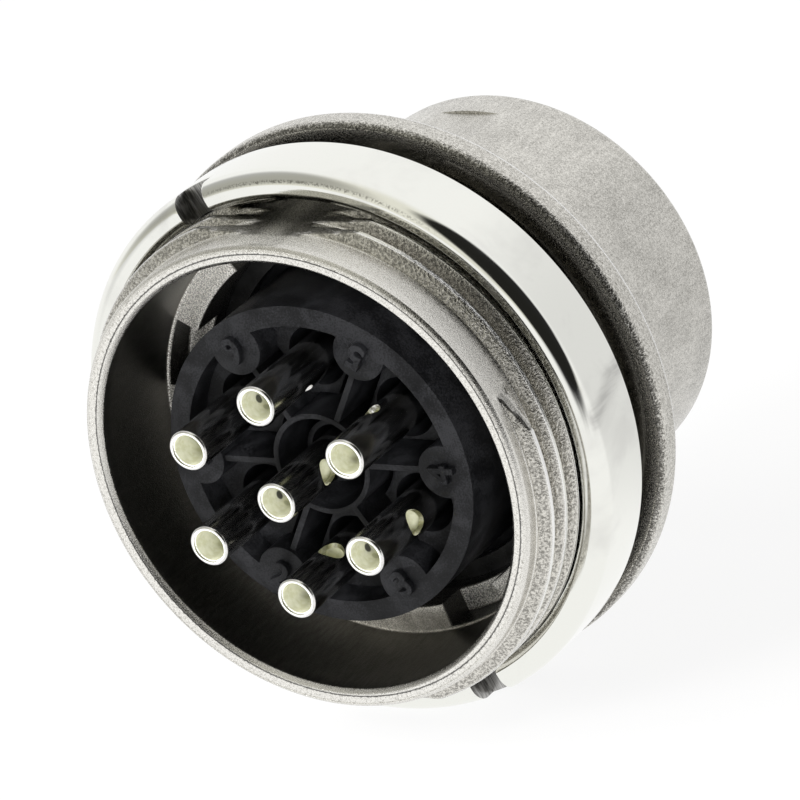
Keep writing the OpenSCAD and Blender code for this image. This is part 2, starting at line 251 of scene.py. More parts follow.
def castNickel():
    look, zone = castLook, castZones
    sheet = newSheet("cast nickel")
    radius, turn, level = sheet.aboutAxis()
    coarse = sheet.noise(6.6, 2.0, 0.55)
    fine = sheet.noise(14.0, 2.0, 0.6)
    streaks = sheet.noise(1.0, 3.0, 0.6, sheet.place((6.0, 0.9, 6.0)))
    clock = turn * 360
    colour = sheet.blendColours(sheet.spread(fine, 0.36, 0.62), look["dull"], look["pale"])
    barrel = sheet.spread(level, *zone["barrelLevels"])
    blotch = sheet.noise(0.55, 4.0, 0.62, sheet.place((1.0, 0.6, 1.0)), 0.5)
    grit = sheet.noise(20.0, 2.0, 0.7)
    worn = grit * 0.55 + coarse * 0.20 + blotch * 0.15 + streaks * 0.10
    worn = sheet.blendColours(sheet.spread(worn, 0.36, 0.62), *look["barrel"])
    colour = sheet.blendColours(barrel, colour, worn)
    # The thread's first ridge: smooth on its climbing top, with a line of painted shade along the front
    firstClock, lastClock = threadSize["rampStart"], threadSize["rampEnd"]
    core, rise = threadSize["rootRadius"], threadSize["crestRadius"] - threadSize["rootRadius"]
    climb = core + (clock - firstClock) * (rise / (lastClock - firstClock))
    start = sheet.within(clock, firstClock, lastClock, 0.4)
    start = start * (1 - sheet.spread(level, *[rimLevel + depth for depth in zone["rampTop"]]))
    ramp = start * sheet.spread(radius - climb, *zone["rampFoot"])
    front = start * sheet.spread(radius, *zone["rampShadeRadii"]) * (1 - sheet.spread(level, *zone["rampShadeEnd"]))
    thread = sheet.spread(radius, *zone["threadRadii"]) * (1 - ramp)
    thread = thread * sheet.within(level, *zone["threadLevels"], 0.02)
    flank = sheet.blendColours(sheet.spread(coarse * 0.6 + fine * 0.4, 0.38, 0.62), *look["flank"])
    colour = sheet.blendColours(thread * (1 - sheet.spread(radius, *zone["flankTop"])), colour, flank)
    crest = thread * sheet.spread(radius, *zone["crestRadii"])
    colour = sheet.blendColours(crest, colour, look["crest"])
    rampShade = front * sheet.within(climb - radius + (fine - 0.5) * 0.10, 0.0, zone["rampShadeWidth"], 0.02)
    colour = sheet.blendColours(rampShade * 0.85, colour, look["rampShade"])
    # The flats at the top and at the bottom
    height = radius * sheet.math("COSINE", turn * math.tau)
    flat = sheet.within(sheet.math("ABSOLUTE", height), *zone["flatHeights"], 0.02)
    flat = flat * sheet.within(level, *zone["flatLevels"], 0.15) * sheet.spread(radius, *zone["flatRadii"])
    milled = sheet.blendColours(sheet.spread(coarse, 0.3, 0.7), *look["flat"])
    colour = sheet.blendColours(flat, colour, milled)
    # The flange: turned in front with fine rings and painted near black there as the nut's shade, sandy over
    # its edge, with a painted highlight line at the back
    flange = sheet.spread(radius, *zone["flangeRadii"])
    face = flange * sheet.within(level, *zone["faceLevels"], 0.015)
    ringPlace = sheet.node("ShaderNodeCombineXYZ", None, {"X": radius * 11.0, "Z": turn * 5.0})
    rings = sheet.noise(1.0, 2.0, 0.6, ringPlace)
    edge = flange * sheet.within(level, *zone["edgeLevels"], 0.02)
    sandy = level + (coarse - 0.5) * 0.7 + (fine - 0.5) * 1.0
    skin = sheet.blendColours(sheet.spread(coarse * 0.35 + grit * 0.65, 0.38, 0.60), *look["edge"])
    colour = sheet.blendColours(edge, colour, skin)
    # Painted shade of the nut: the front of the edge and the face go near black, fading through a sandy
    # border and grains
    turned = edge * (1 - sheet.spread(sandy, *zone["nutShadeLevels"]))
    colour = sheet.blendColours(turned, colour, look["turned"])
    grains = sheet.spread(grit * 0.6 + fine * 0.4 + (radius - 16.0) * 0.14, 0.52, 0.58)
    turned = sheet.blendColours(grains, look["turned"], look["nutShadeGrain"])
    colour = sheet.blendColours(face, colour, turned)
    # Painted highlight: a near-white line along the flange's back corner
    corner = sheet.spread(radius, *zone["backHighlightRadii"]) * sheet.within(level, *zone["backHighlightLevels"], 0.06)
    colour = sheet.blendColours(corner, colour, look["backHighlight"])
    # The rim: speckled, with a dark line near its outer edge, partly a rough score and partly painted shade
    # that drifts inward away from one clock angle
    rim = 1 - sheet.spread(level, *[rimLevel + depth for depth in zone["rimDepths"]])
    speckle = sheet.blendColours(sheet.spread(fine * 0.5 + coarse * 0.5, 0.34, 0.54), *look["rim"])
    colour = sheet.blendColours(rim, colour, speckle)
    drift = sheet.math("COSINE", (clock - zone["rimShadeClock"]) * math.radians(1.0))
    wander = radius + (coarse - 0.5) * 0.12 + zone["rimShadeDrift"] * (1 - drift)
    rimShadeLine = rim * sheet.within(wander, *zone["rimShadeRadii"], 0.03)
    colour = sheet.blendColours(rimShadeLine, colour, look["rimScoreShade"])
    # The wiring chamber: dark and streaked, with painted light making it lighter at its top and painted shade
    # making it darkest at the lower left
    inside = 1 - sheet.spread(radius, *zone["insideRadii"])
    chamber = inside * sheet.within(level, rimLevel + zone["chamberStart"], zone["chamberEnd"], 0.06)
    chamberColour = sheet.blendColours(sheet.spread(blotch * 0.6 + streaks * 0.4, 0.42, 0.60), *look["chamber"])
    lowerLeft = sheet.within(clock, *zone["chamberBottomClocks"], 8.0)
    chamberColour = sheet.blendColours(lowerLeft * 0.55, chamberColour, look["chamberBottom"])
    chamberColour = sheet.blendColours(sheet.spread(height, *zone["chamberTopHeights"]), chamberColour, look["chamberTop"])
    colour = sheet.blendColours(chamber * (0.80 + 0.15 * streaks), colour, chamberColour)
    # Its ledge and pockets: light and grainy, with mottled painted shade making the ledge darker at the
    # bottom
    beside = sheet.spread(radius, *zone["openingRadii"])
    ledge = inside * sheet.within(level, *zone["ledgeLevels"], 0.03) * beside
    floor = sheet.blendColours(sheet.spread(fine * 0.5 + grit * 0.5, 0.40, 0.58), *look["ledge"])
    ledgeShade = sheet.spread(blotch * 0.4 + coarse * 0.3 + grit * 0.3, 0.38, 0.60)
    ledgeShade = sheet.blendColours(ledgeShade, *look["ledgeBottom"])
    bottom = 1 - sheet.spread(height, *zone["ledgeBottomHeights"])
    bottom = bottom * (1 - sheet.spread(level, *zone["ledgeTop"]))
    floor = sheet.blendColours(bottom, floor, ledgeShade)
    colour = sheet.blendColours(ledge, colour, floor)
    deep = inside * sheet.within(level, *zone["pocketLevels"], 0.05) * beside
    throat = sheet.within(radius, *zone["throatRadii"], 0.02)
    throat = throat * sheet.within(level, *zone["throatLevels"], 0.05)
    colour = sheet.blendColours(sheet.math("MAXIMUM", deep, throat), colour, look["shaded"])
    low, high = look["roughness"]
    roughness = low + (high - low) * sheet.spread(fine, 0.35, 0.70)
    roughness = roughness * (1 - 0.55 * face - 0.25 * thread - 0.3 * crest) + 0.10 * chamber
    lumps = coarse * (0.12 + 0.88 * thread + 1.1 * edge - 0.08 * barrel) + fine * 0.40
    lumps = lumps * (1 - 0.97 * face - 0.8 * crest) + rings * face * 0.05
    lumps = lumps + grains * face * 0.5 + grit * barrel * 0.25
    # The rim and the ledge are matt, so a share of them takes the lamps' light as paint does
    return sheet.surface({
        "Base Color": colour, "Metallic": 1 - 0.2 * rim - 0.45 * ledge, "Roughness": roughness,
        "Normal": sheet.bump(lumps, look["grainDepth"])})


nickelLook = {
    "bright": (0.874, 0.876, 0.828, 1.0),
    "smudged": grey(0.62, 0.03),
    "rubbed": grey(0.42, 0.03),
    "rubbedClocks": (78.5, 80.5),
    "rubbedRadii": (16.1, 16.3),
    "score": grey(0.26, 0.06),  # the rough edge between the rounded corner and the flat face
    "scoreClocks": (-17.0, 30.0),
    "scoreRadii": (15.80, 15.96),
    "scoreLevels": (-6.4, -6.2),
    "roughness": (0.06, 0.20),
    "lineDepth": 0.0012,  # mm
    "milled": (grey(0.20, 0.03), grey(0.55, 0.02)),  # walls of the spanner slots
    "milledDepth": 0.012,
}


def polishedNickel():
    look = nickelLook
    sheet = newSheet("polished nickel")
    radius, turn, level = sheet.aboutAxis()
    clock = turn * 360
    rings = sheet.node("ShaderNodeCombineXYZ", None, {"X": radius * 9.0, "Y": level * 9.0, "Z": turn * 14.0})
    lines = sheet.noise(1.0, 3.0, 0.6, rings)
    smudge = sheet.noise(0.16, 4.0, 0.6, distortion=0.4)
    cloud = sheet.spread(smudge, 0.50, 0.72)
    colour = sheet.blendColours(cloud * 0.35, look["bright"], look["smudged"])
    strokes = sheet.noise(1.0, 2.0, 0.6, sheet.node("ShaderNodeCombineXYZ", None, {
        "X": radius * 2.0, "Y": level * 0.5, "Z": turn * 420.0}))
    drift = clock + (smudge - 0.5) * 8 + (level + 4.0) * 1.6
    rubbed = sheet.within(drift, *look["rubbedClocks"], 3.0) * sheet.spread(radius, *look["rubbedRadii"])
    rubbed = rubbed * (0.7 + 0.5 * sheet.spread(strokes, 0.35, 0.65))
    colour = sheet.blendColours(rubbed, colour, look["rubbed"])
    grain = sheet.noise(8.0, 3.0, 0.7)
    score = sheet.within(radius + (grain - 0.5) * 0.35, *look["scoreRadii"], 0.06)
    score = score * (1 - sheet.spread(level, *look["scoreLevels"]))
    score = score * sheet.within(clock, *look["scoreClocks"], 10.0)
    colour = sheet.blendColours(score * sheet.spread(grain, 0.44, 0.60) * 0.8, colour, look["score"])
    low, high = look["roughness"]
    return sheet.surface({
        "Base Color": colour, "Metallic": 1.0, "Roughness": low + (high - low) * cloud,
        "Normal": sheet.bump(lines, look["lineDepth"])})


def milledNickel():
    # Walls of the spanner slots, with the cutter's lines along the radius
    sheet = newSheet("milled nickel")
    radius, turn, level = sheet.aboutAxis()
    strokes = sheet.node("ShaderNodeCombineXYZ", None, {
        "X": radius * 0.4, "Y": level * 6.0, "Z": turn * 1500.0})
    lines = sheet.noise(1.0, 2.0, 0.7, strokes)
    return sheet.surface({
        "Base Color": sheet.blendColours(sheet.spread(lines, 0.35, 0.65), *nickelLook["milled"]),
        "Metallic": 1.0, "Roughness": 0.22 + 0.2 * lines,
        "Normal": sheet.bump(lines, nickelLook["milledDepth"])})


mouldingLook = {
    "base": (0.0036, 0.0037, 0.0042, 1.0),
    "worn": (0.0155, 0.0158, 0.0175, 1.0),
    "specular": 0.20,
    "textureDepth": 0.016,  # mm
}


def blackMoulding():
    sheet = newSheet("black moulding")
    skin = sheet.noise(9.0, 3.0, 0.75)
    flow = sheet.noise(0.5, 3.0, 0.5, distortion=0.8)
    shine = sheet.spread(flow * 0.4 + skin * 0.6, 0.44, 0.60)
    return sheet.surface({
        "Base Color": sheet.blendColours(shine, mouldingLook["base"], mouldingLook["worn"]),
        "Roughness": 0.34 + 0.22 * sheet.spread(skin, 0.3, 0.7),
        "Specular IOR Level": mouldingLook["specular"],
        "Normal": sheet.bump(skin, mouldingLook["textureDepth"])})


silverLook = {
    "bright": grey(0.86, 0.02),
    "tarnished": grey(0.64, 0.03),
    "roughness": (0.10, 0.26),
    "scuffDepth": 0.010,  # mm
    "bore": (0.90, 0.90, 0.74, 1.0),  # the cup's inside is bright and faintly yellow
    "boreStain": (0.74, 0.74, 0.56, 1.0),
    "cutEnd": (0.97, 0.97, 0.94, 1.0),
    # A painted reflection of the inspection hole in the cup: its clock angle, depth in mm, half width in
    # degrees and half height in mm
    "peepReflection": (-111.0, 1.7, 17.0, 0.24),
    "peepReflectionColour": grey(0.045, 0.05),
    "peepReflectionShares": ((0.0, 0.92), (-44.0, 0.30)),  # the spot, and the smear this far beside it
    "endNick": grey(0.45, 0.05),
}


def silverPlate():
    sheet = newSheet("silver plate")
    mottle = sheet.noise(1.3, 3.0, 0.6, sheet.place((1.6, 0.5, 1.6)), 0.3)
    scuff = sheet.noise(1.0, 3.0, 0.6, sheet.place((5.0, 0.5, 5.0)))
    stain = sheet.spread(mottle, 0.35, 0.80)
    low, high = silverLook["roughness"]
    return sheet.surface({
        "Base Color": sheet.blendColours(stain * 0.5, silverLook["bright"], silverLook["tarnished"]),
        "Metallic": 1.0, "Roughness": low + (high - low) * sheet.spread(scuff, 0.35, 0.65),
        "Normal": sheet.bump(scuff, silverLook["scuffDepth"])})


def cupBore(name, paintedReflection):
    sheet = newSheet(name)
    mottle = sheet.noise(1.8, 3.0, 0.6)
    colour = sheet.blendColours(sheet.spread(mottle, 0.40, 0.66), silverLook["bore"], silverLook["boreStain"])
    if paintedReflection:
        # A painted reflection of the inspection hole: a dark spot on the wall and a fainter smear beside it
        _, turn, level = sheet.aboutAxis()
        clock, depth, width, height = silverLook["peepReflection"]
        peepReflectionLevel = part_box("contact_1")[0].y / mm + depth
        ragged = (sheet.noise(3.0, 2.0, 0.6) - 0.5) * 0.5
        for shift, share in silverLook["peepReflectionShares"]:
            aside = (turn * 360 - clock - shift) / width
            along = (level - peepReflectionLevel) / height
            away = (aside * aside + along * along) ** 0.5 + ragged
            dark = (1 - sheet.spread(away, 0.75, 1.15)) * share
            colour = sheet.blendColours(dark, colour, silverLook["peepReflectionColour"])
    return sheet.surface({
        "Base Color": colour,
        "Metallic": 0.45, "Roughness": 0.04 + 0.10 * mottle,
        "Normal": sheet.bump(sheet.noise(1.0, 2.0, 0.6, sheet.place((0.8, 6.0, 0.8))), 0.001)})


def cupEnd():
    # The cut ends of the cups, matt and white beside the plated sides
    sheet = newSheet("silver cup end")
    nick = sheet.spread(sheet.noise(5.0, 3.0, 0.6), 0.60, 0.68)
    return sheet.surface({
        "Base Color": sheet.blendColours(nick, silverLook["cutEnd"], silverLook["endNick"]),
        "Metallic": 0.45, "Roughness": 0.28 + 0.2 * nick,
        "Normal": sheet.bump(sheet.noise(9.0, 2.0, 0.6), 0.006)})


def springMetal(name, colour, streak):
    # Rolled strip, with faint lines along the rolling direction
    sheet = newSheet(name)
    lines = sheet.noise(1.0, 2.0, 0.6, sheet.place((1.0, 12.0, 1.0)))
    stain = sheet.noise(0.8, 3.0, 0.6)
    darker = tuple(part * 0.6 for part in colour[:3]) + (1.0,)
    return sheet.surface({
        "Base Color": sheet.blendColours(sheet.spread(stain, 0.40, 0.70), colour, darker),
        "Metallic": 1.0, "Roughness": 0.2 + 0.15 * lines, "Normal": sheet.bump(lines, streak)})


def sealRubber():
    sheet = newSheet("seal rubber")
    skin = sheet.noise(12.0, 3.0, 0.6)
    bloom = sheet.spread(sheet.noise(0.9, 3.0, 0.6), 0.45, 0.75)
    return sheet.surface({
        "Base Color": sheet.blendColours(bloom, grey(0.018), grey(0.050)),
        "Roughness": 0.62 + 0.15 * skin, "Normal": sheet.bump(skin, 0.008)})


materials = {
    "cast": castNickel(),
    "nickel": polishedNickel(),
    "milled": milledNickel(),
    "moulding": blackMoulding(),
    "silver": silverPlate(),
    "bore": cupBore("silver cup bore", False),
    "paintedReflection": cupBore("cup bore with painted reflection", True),
    "cut": cupEnd(),
    "bronze": springMetal("spring bronze", (0.62, 0.42, 0.24, 1.0), 0.003),
    "steel": springMetal("spring steel", grey(0.040), 0.004),
    "rubber": sealRubber(),
}
print("materials made:", len(materials))


weldReach = 0.0004  # mm


def weave(rows, clocks):
    # Rows of a round surface, each a radius and a level in mm that may change with the clock angle
    radius = np.array([np.broadcast_to(row[0], clocks.shape) for row in rows], float)
    level = np.array([np.broadcast_to(row[1], clocks.shape) for row in rows], float)
    angle = np.radians(clocks)
    points = np.stack([radius * np.sin(angle), level, radius * np.cos(angle)], -1) * mm
    index = np.arange(radius.size).reshape(radius.shape)
    index = np.vstack([index, index[:1]])
    quads = np.stack([index[:-1, :-1], index[:-1, 1:], index[1:, 1:], index[1:, :-1]], -1)
    return points.reshape(-1, 3), quads.reshape(-1, 4)


def arc(centreRadius, centreLevel, radius, start, end, steps):
    # Rows round a corner; 0 degrees points outwards and 90 degrees along +Y
    turns = np.radians(np.linspace(start, end, steps + 1))
    return [(centreRadius + radius * math.cos(t), centreLevel + radius * math.sin(t)) for t in turns]


def fullTurn(steps, start=0.0):
    return np.linspace(start, start + 360.0, steps + 1)


def cleanMesh(mesh):
    work = bmesh.new()
    work.from_mesh(mesh)
    bmesh.ops.remove_doubles(work, verts=work.verts, dist=weldReach * mm)
    bmesh.ops.dissolve_degenerate(work, edges=work.edges, dist=weldReach * mm)
    bmesh.ops.recalc_face_normals(work, faces=work.faces)
    work.to_mesh(mesh)
    work.free()


def meshPiece(name, points, faces, material, others=()):
    # Others hold a material each, with its first and last face
    mesh = bpy.data.meshes.new(name)
    mesh.from_pydata([tuple(point) for point in points], [], [tuple(face) for face in faces])
    mesh.materials.append(material)
    for index, (other, first, last) in enumerate(others, 1):
        mesh.materials.append(other)
        for face in mesh.polygons[first:last]:
            face.material_index = index
    cleanMesh(mesh)
    piece = bpy.data.objects.new(name, mesh)
    bpy.context.scene.collection.objects.link(piece)
    return piece


def smoothed(piece, sharpDeg=32.0):
    mesh = piece.data
    mesh.polygons.foreach_set("use_smooth", [True] * len(mesh.polygons))
    mesh.set_sharp_from_angle(angle=math.radians(sharpDeg))
    return piece


def applyModifiers(piece):
    bpy.context.view_layer.update()
    finished = piece.evaluated_get(bpy.context.evaluated_depsgraph_get())
    old = piece.data
    piece.data = bpy.data.meshes.new_from_object(finished)
    piece.modifiers.clear()
    bpy.data.meshes.remove(old)


def carve(piece, cutters, keepMaterial=False):
    for cutter in cutters:
        cut = piece.modifiers.new("cut", "BOOLEAN")
        cut.operation = "DIFFERENCE"
        cut.solver = "EXACT"
        cut.object = cutter
        if keepMaterial:
            cut.material_mode = "TRANSFER"
    applyModifiers(piece)
    for cutter in cutters:
        mesh = cutter.data
        bpy.data.objects.remove(cutter)
        bpy.data.meshes.remove(mesh)


def softenEdges(piece, width, segments=2, angleDeg=35.0):
    bevel = piece.modifiers.new("edges", "BEVEL")
    bevel.width = width * mm
    bevel.segments = segments
    bevel.limit_method = "ANGLE"
    bevel.angle_limit = math.radians(angleDeg)
    bevel.harden_normals = False
    applyModifiers(piece)


def boxPiece(name, low, high, material, turnClock=0.0):
    # A box given by its corners in mm: outwards, along the axis and sideways, turned to a clock angle
    work = bmesh.new()
    bmesh.ops.create_cube(work, size=1.0)
    middle = [(a + b) / 2 * mm for a, b in zip(low, high)]
    size = [(b - a) * mm for a, b in zip(low, high)]
    turned = Matrix.Rotation(math.radians(turnClock) - math.pi / 2, 4, "Y")
    for vert in work.verts:
        vert.co = turned @ Vector([m + s * c for m, s, c in zip(middle, size, vert.co)])
    mesh = bpy.data.meshes.new(name)
    work.to_mesh(mesh)
    work.free()
    mesh.materials.append(material)
    piece = bpy.data.objects.new(name, mesh)
    bpy.context.scene.collection.objects.link(piece)
    return piece


def settle(piece, body, slot, *replaced):
    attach(piece, body)
    if replaced:
        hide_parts(*replaced)


housingSize = {
    "chamberRadius": 12.82,  # at the rim; the wall leans in a little on the way down
    "chamberFoot": 12.65,
    "ledgeLevel": -3.8,
    "openingRadius": 11.1,
    "innerBevel": 0.24,
    "outerBevel": 0.22,
    "rimScore": 0.035,  # depth of the rough line near the rim's outer edge
    # Its rows, each with a radius from the outer edge and a share of the depth
    "scoreRows": ((-0.13, 0.0), (-0.08, 0.4), (-0.05, 1.0), (-0.02, 0.5)),
    "flatRadius": 13.8,
    "reliefLevel": -0.6,
    "flangeThickness": 1.8,
    "flangeEdge": 0.45,
    "barrelRadius": 11.95,
    "barrelBore": 10.4,
    "barrelEdge": 0.6,
    "barrelBevel": 0.4,
    "barrelFlatDepth": 0.15,
    "barrelFlatEnd": 12.9,
    "stepLevel": 3.2,
    "snapGroove": (11.55, -0.6, 0.4),
    "columns": 540,
}
pocketSize = {
    "clocks": (-70.6, -24.2, 109.4, 155.8),
    "span": 20.0,
    "depth": 2.2,
    "outRadius": 12.5,
    "corner": 0.14,
}
ribSize = {
    "width": 2.0,
    "height": 0.7,
    "start": 5.05,
    "end": 14.9,
    "sunk": 0.3,
    "edge": 0.15,
}


def flatLimit(radius, clocks, flat):
    # Two flats, at the top and at the bottom, cut the round surface
    away = np.radians((clocks + 90.0) % 180.0 - 90.0)
    return np.minimum(radius, flat / np.cos(away))


def threadRows(clocks):
    size = threadSize
    core, height = size["rootRadius"], size["crestRadius"] - size["rootRadius"]
    across, left = np.array(size["flankShape"]).T
    marks = across / across[-1] * size["flank"] + size["crestHalf"]
    rise = left * height
    steps = np.concatenate([-marks[::-1], marks])
    heights = np.concatenate([rise[::-1], rise])
    share = (clocks - size["startClock"]) / 360.0
    ramp = np.clip((clocks - size["rampStart"]) / (size["rampEnd"] - size["rampStart"]), 0.0, 1.0) * height
    low = housingSize["outerBevel"] + 0.06
    high = housingSize["reliefLevel"] - rimLevel
    rows = []
    for ridge in range(-1, size["ridges"]):
        crest = size["firstCrest"] + (ridge + share) * size["pitch"]
        for step in steps:
            depth = np.clip(crest + step, low, high)
            lift = np.interp(depth - crest, steps, heights)
            if ridge < 0:
                lift = np.zeros_like(lift)
            elif ridge == 0:
                lift = np.minimum(lift, ramp)
            radius = flatLimit(core + lift, clocks, housingSize["flatRadius"])
            rows.append((radius, rimLevel + depth))
    return rows


def housingColumns():
    clocks = fullTurn(housingSize["columns"], threadSize["startClock"])
    edges = []
    for clock in pocketSize["clocks"]:
        for side in (-0.5, 0.5):
            edge = (clock + side * pocketSize["span"] - clocks[0]) % 360.0 + clocks[0]
            edges += [edge - 0.25, edge - 0.02, edge + 0.02, edge + 0.25]
    return np.unique(np.round(np.concatenate([clocks, edges]), 4))


def pocketRows(clocks):
    # Rows from the opening's edge over the ledge to the chamber's wall, sunk where a pocket is
    ledge, depth, bend = housingSize["ledgeLevel"], pocketSize["depth"], pocketSize["corner"]
    opening, out, foot = housingSize["openingRadius"], pocketSize["outRadius"], housingSize["chamberFoot"]
    inside = np.zeros(clocks.shape, bool)
    for clock in pocketSize["clocks"]:
        away = np.abs((clocks - clock + 180.0) % 360.0 - 180.0)
        inside |= away < pocketSize["span"] / 2
    floor = np.where(inside, ledge + depth, ledge)
    corner = np.where(inside, bend, 0.0)
    return [
        (opening, floor + 0.12),
        (opening + 0.03, floor + 0.035),
        (opening + 0.12, floor),
        (11.5, floor),
        (12.0, floor),
        (out - bend, floor),
        (out - 0.04, floor - corner * 0.3),
        (out, floor - corner),
        (out, np.where(inside, ledge + 0.06, ledge)),
        (out + np.where(inside, 0.05, 0.02), ledge),
        (foot - 0.1, ledge),
        (foot - 0.02, ledge - 0.03),
        (foot, ledge - 0.12),
    ]


def makeHousing():
    size = housingSize
    clocks = housingColumns()
    rows = pocketRows(clocks)
    wallTop = rimLevel + size["innerBevel"] + 0.05
    for share in np.linspace(0.12, 1.0, 9):
        rows.append((size["chamberFoot"] + share * (size["chamberRadius"] - size["chamberFoot"]),
                     size["ledgeLevel"] + share * (wallTop - size["ledgeLevel"])))
    bevel = size["innerBevel"]
    rim = size["chamberRadius"] + bevel
    core = threadSize["rootRadius"]
    outer = core - size["outerBevel"]
    rows += [
        (size["chamberRadius"] + 0.02, rimLevel + bevel),
        (rim - 0.05, rimLevel + 0.05),
        (rim, rimLevel),
        (rim + 0.22, rimLevel),
    ]
    rows += [(outer + aside, rimLevel + share * size["rimScore"]) for aside, share in size["scoreRows"]]
    rows += [
        (outer, rimLevel + 0.03),
        (outer + 0.6 * size["outerBevel"], rimLevel + 0.4 * size["outerBevel"] + 0.02),
        (core - 0.02, rimLevel + size["outerBevel"] - 0.03),
    ]
    rows += threadRows(clocks)
    relief = core - 0.12
    rows += [(relief, size["reliefLevel"]), (relief, -0.05), (relief + 0.05, 0.0)]
    edge = size["flangeEdge"]
    back = size["flangeThickness"]
    for radius in (14.3, 15.0, 15.6):
        rows.append((radius, 0.0))
    rows += arc(flangeRadius - edge, edge, edge, -90.0, 0.0, 7)
    rows += arc(flangeRadius - edge, back - edge, edge, 0.0, 90.0, 7)
    barrel = size["barrelRadius"]
    fillet = size["barrelEdge"]
    for radius in (15.2, 14.0, 13.2):
        rows.append((radius, back))
    rows += arc(barrel + fillet, back + fillet, fillet, -90.0, -180.0, 6)
    flat = flatLimit(barrel, clocks, barrel - size["barrelFlatDepth"])
    for level in (back + fillet + 0.03, 5.0, 8.0, 11.0, size["barrelFlatEnd"]):
        rows.append((flat, level))
    rows.append((barrel, size["barrelFlatEnd"] + 0.02))
    rows += arc(barrel - fillet, barrelEnd - fillet, fillet, 0.0, 90.0, 8)
    bore = size["barrelBore"]
    mouth = size["barrelBevel"]
    rows += [
        (bore + mouth, barrelEnd),
        (bore + 0.02, barrelEnd - mouth),
        (bore, barrelEnd - mouth - 0.06),
        (bore, 10.0),
        (bore, size["stepLevel"]),
    ]
    opening = size["openingRadius"]
    groove, grooveStart, grooveEnd = size["snapGroove"]
    rows += [
        (opening, size["stepLevel"]),
        (opening, grooveEnd),
        (groove, grooveEnd),
        (groove, grooveStart),
        (opening, grooveStart),
    ]
    points, faces = weave(rows, clocks)
    piece = smoothed(meshPiece("connector_housing", points, faces, materials["cast"]), 28.0)
    settle(piece, "connector", "cast_nickel", "housing")
    half = ribSize["width"] / 2
    rib = boxPiece("coding_rib", (bore - ribSize["height"], ribSize["start"], -half),
                   (bore + ribSize["sunk"], ribSize["end"], half), materials["cast"])
    softenEdges(rib, ribSize["edge"], 3)
    settle(smoothed(rib), "connector", "cast_nickel")
    print("housing made:", len(piece.data.polygons), "faces")


nutSize = {
    "bore": 14.72,
    "edge": 0.9,
    "faceWidth": 0.35,
    "bevelSlope": 0.8,
    "rearEdge": 0.15,
    "slotClock": -24.2,
    "slotWidth": 2.1,
    "slotDepth": 1.5,
    "slotEdge": 0.05,
    "columns": 360,
}


def makeNut():
    size = nutSize
    low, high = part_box("ring_nut")
    front, rear, outside = low.y / mm, high.y / mm, high.x / mm
    face = outside - size["edge"] - size["faceWidth"]
    bevelEnd = front + (face - size["bore"]) * size["bevelSlope"]
    rearEdge = size["rearEdge"]
    rows = [
        (size["bore"], bevelEnd + 0.05),
        (size["bore"] + 0.03, bevelEnd - 0.03),
        (face - 0.05, front + 0.04),
        (face - 0.01, front + 0.008),
        (face + 0.01, front),
        (face + 0.03, front),
        (outside - size["edge"] - 0.02, front),
    ]
    rows += arc(outside - size["edge"], front + size["edge"], size["edge"], -90.0, 0.0, 14)
    rows += [(outside, level) for level in np.linspace(front + size["edge"], rear - rearEdge, 4)[1:-1]]
    rows += arc(outside - rearEdge, rear - rearEdge, rearEdge, 0.0, 90.0, 4)
    rows += [(15.6, rear), (size["bore"] + 0.2, rear), (size["bore"], rear - 0.2)]
    # The bore is plain and clear of the housing's thread
    rows += [(size["bore"], level) for level in np.linspace(rear - 0.2, bevelEnd + 0.05, 6)[1:-1]]
    points, faces = weave(rows, fullTurn(size["columns"]))
    nut = meshPiece("clamping_nut", points, faces, materials["nickel"])
    cutters = []
    for side in (0.0, 180.0):
        half = size["slotWidth"] / 2
        cutters.append(boxPiece("slot", (size["bore"] - 1.0, front - 1.0, -half),
                                (outside + 1.0, front + size["slotDepth"], half),
                                materials["milled"], size["slotClock"] + side))
    carve(nut, cutters, keepMaterial=True)
    softenEdges(nut, size["slotEdge"], 2, 50.0)
    settle(smoothed(nut), "ring_nut", "polished_nickel", "ring_nut")
    print("ring nut made:", len(nut.data.polygons), "faces")


contactSize = {
    "circleRadius": 5.75,
    "cup": 1.18,
    "bore": 0.89,
    "mouth": -13.5,
    "depth": 4.9,
    "lip": 0.13,
    "shank": 1.08,
    "shankStart": -2.2,
    "collar": (1.45, 0.75, 1.55),
    "root": (1.0, 5.1),
    "pin": 0.8,
    "innerStep": (0.055, 0.13),  # width and depth of the fine step inside the mouth
    "peepRadius": 0.725,
    "peepBelowMouth": 3.85,
    # Clock angle that each inspection hole faces, the middle contact first
    "peepClocks": (84, 234, 224, 14, 76, -26, 152),
    "paintedReflection": (0, 4, 6),  # contacts with a painted reflection of the inspection hole, a dark spot in the cup
    "boreRows": 6,  # rows of faces, from the cup's bottom up to the step
    "cutRows": (6, 9),  # the step's floor and the flat of the mouth
    "columns": 96,
}


